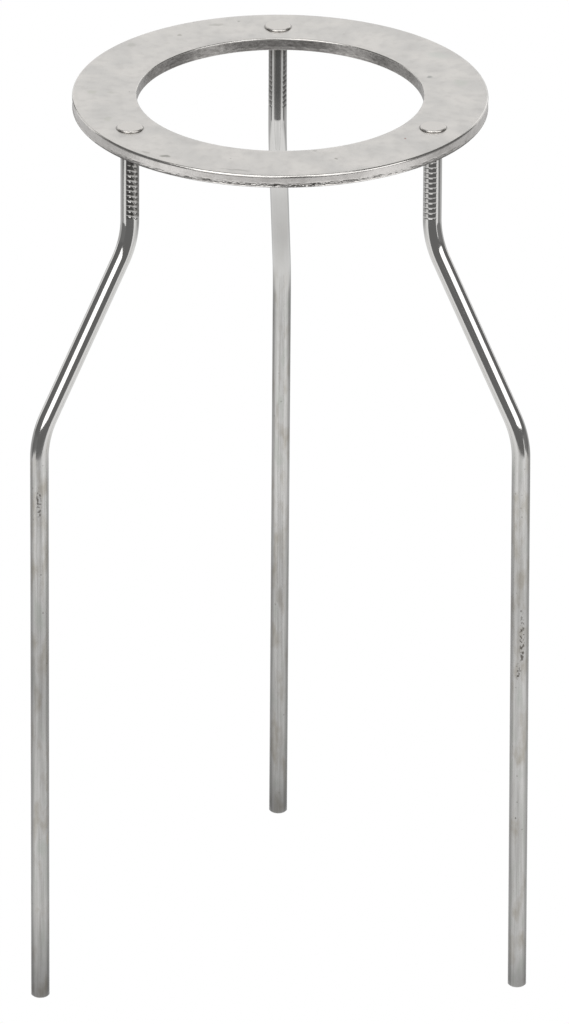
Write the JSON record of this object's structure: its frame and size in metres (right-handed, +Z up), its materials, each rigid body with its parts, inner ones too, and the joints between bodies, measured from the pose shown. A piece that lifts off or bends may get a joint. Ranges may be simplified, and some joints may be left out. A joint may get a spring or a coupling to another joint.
{
  "type": "laboratory tripod stand",
  "caption": "Bench tripod: a flat steel ring riveted onto cranked round-rod legs, to hold a vessel over a burner.",
  "frame": {"origin": "centre of the ring's hole, level with the ring's top face", "axes": "+Z up along the hole's axis; the left and right legs stand on the -Y side and the back leg on +Y"},
  "size_m": [0.1211, 0.1194, 0.2239],
  "materials": {
    "ring_steel": "satin plated sheet steel with a sheared edge, faint stains and small pits",
    "rod_steel": "bright drawn rod, lightly streaked along its length"
  },
  "bodies": {
    "root": {"top_ring": "ring_steel", "leg_left": "rod_steel", "leg_right": "rod_steel", "leg_back": "rod_steel"}
  },
  "joints": []
}
